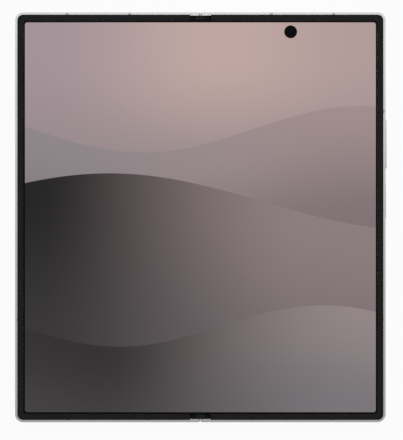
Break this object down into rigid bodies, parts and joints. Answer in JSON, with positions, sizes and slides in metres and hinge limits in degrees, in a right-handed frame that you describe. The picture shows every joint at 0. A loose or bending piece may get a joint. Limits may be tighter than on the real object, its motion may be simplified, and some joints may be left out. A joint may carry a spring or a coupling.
{
  "type": "foldable phone",
  "caption": "Book-style foldable phone lying open: two thin halves on a two-axis hinge, folding inner screen, cover display, side keys and card tray.",
  "frame": {"origin": "middle of the opened phone's footprint, at the height of the camera rings it stands on", "axes": "+X from the cover half to the main half, +Y along the fold line towards the top edge, +Z out of the inner screen"},
  "size_m": [0.1436, 0.1584, 0.0062],
  "materials": {
    "frame_metal": "satin anodised",
    "antenna_plastic": "matte",
    "bezel_black": "matte",
    "cover_glass_black": "polished",
    "rear_glass_silver": "frosted",
    "screen_panel": "glossy",
    "display_panel": "glossy",
    "battery_wrap": "matte",
    "board_green": "matte",
    "chip_shield": "satin",
    "module_black": "matte",
    "hinge_steel": "brushed",
    "screw_steel": "satin",
    "lens_glass": "polished",
    "ring_metal": "polished",
    "led_yellow": "glossy",
    "coil_copper": "satin",
    "flex_film": "matte",
    "brass_block": "satin"
  },
  "bodies": {
    "main_half": {"main_frame": "frame_metal", "main_antenna_breaks": "antenna_plastic", "main_bezel": "bezel_black", "rear_glass": "rear_glass_silver", "camera_island": "frame_metal", "camera_rings": "ring_metal", "camera_lenses": "lens_glass", "camera_modules": "module_black", "flash_led": "led_yellow", "main_battery": "battery_wrap", "main_board": "board_green", "main_board_chips": "chip_shield", "charge_board": "board_green", "charging_coil": "coil_copper", "usb_socket": "chip_shield", "main_speaker": "module_black", "vibration_motor": "chip_shield", "key_switches": "module_black", "inner_camera": "module_black", "main_support_plate": "hinge_steel", "screen_main_side": "screen_panel", "main_hinge_arms": "hinge_steel", "main_hinge_screws": "screw_steel", "main_board_screws": "screw_steel", "main_magnets": "chip_shield"},
    "cover_half": {"cover_frame": "frame_metal", "cover_antenna_breaks": "antenna_plastic", "cover_bezel": "bezel_black", "cover_glass": "cover_glass_black", "cover_display": "display_panel", "cover_battery": "battery_wrap", "cover_board": "board_green", "cover_board_chips": "chip_shield", "cover_speaker": "module_black", "cover_selfie_camera": "module_black", "cover_support_plate": "hinge_steel", "screen_cover_side": "screen_panel", "cover_hinge_arms": "hinge_steel", "cover_hinge_screws": "screw_steel", "cover_board_screws": "screw_steel", "cover_magnets": "chip_shield", "sim_reader": "chip_shield"},
    "spine": {"spine_cover": "frame_metal", "hinge_blocks": "hinge_steel", "spine_screws": "screw_steel", "fold_guards": "bezel_black", "torque_springs": "hinge_steel", "hinge_flex": "flex_film"},
    "fold_support": {"fold_support": "hinge_steel", "screen_fold": "screen_panel"},
    "cover_wing": {"cover_wing": "hinge_steel"},
    "main_wing": {"main_wing": "hinge_steel"},
    "sync_sliders": {"sync_sliders": "brass_block"},
    "volume_key": {"volume_key": "frame_metal"},
    "power_key": {"power_key": "frame_metal"},
    "sim_tray": {"sim_tray": "frame_metal"}
  },
  "joints": [
    {"name": "fold", "type": "hinge", "parent": "spine", "child": "cover_half", "pos_m": [-0.00137, 0, 0.00507], "axis": [0, 1, 0], "range_deg": [0, 90], "deforming": ["screen_fold", "hinge_flex"]},
    {"name": "spine_fold", "type": "hinge", "parent": "main_half", "child": "spine", "pos_m": [0.00137, 0, 0.00507], "axis": [0, 1, 0], "range_deg": [0, 90]},
    {"name": "support_sink", "type": "slide", "parent": "spine", "child": "fold_support", "axis": [0, 0, -1], "range_m": [0, 0.00081]},
    {"name": "cover_wing_tilt", "type": "hinge", "parent": "fold_support", "child": "cover_wing", "pos_m": [-0.0012, 0, 0.00573], "axis": [0, 1, 0], "range_deg": [0, 93.4]},
    {"name": "main_wing_tilt", "type": "hinge", "parent": "fold_support", "child": "main_wing", "pos_m": [0.0012, 0, 0.00573], "axis": [0, -1, 0], "range_deg": [0, 93.4]},
    {"name": "slider_shift", "type": "slide", "parent": "spine", "child": "sync_sliders", "axis": [0, 1, 0], "range_m": [0, 0.0025], "deforming": ["torque_springs"]},
    {"name": "volume_rock", "type": "hinge", "parent": "main_half", "child": "volume_key", "pos_m": [0.0707, 0.0283, 0.004], "axis": [0, 0, 1], "range_deg": [-1.2, 1.2], "stiffness_Nm_per_rad": 0.5},
    {"name": "power_press", "type": "slide", "parent": "main_half", "child": "power_key", "axis": [-1, 0, 0], "range_m": [0, 0.0002], "stiffness_N_per_m": 2000},
    {"name": "tray_slide", "type": "slide", "parent": "cover_half", "child": "sim_tray", "axis": [0, 1, 0], "range_m": [0, 0.016]}
  ],
  "couplings": [
    {"joint": "spine_fold", "follows": "fold", "ratio": 1},
    {"joint": "support_sink", "follows": "fold", "m_per_rad": 0.00051561},
    {"joint": "cover_wing_tilt", "follows": "fold", "ratio": 1.0378},
    {"joint": "main_wing_tilt", "follows": "fold", "ratio": 1.0378},
    {"joint": "slider_shift", "follows": "fold", "m_per_rad": 0.0015914}
  ]
}
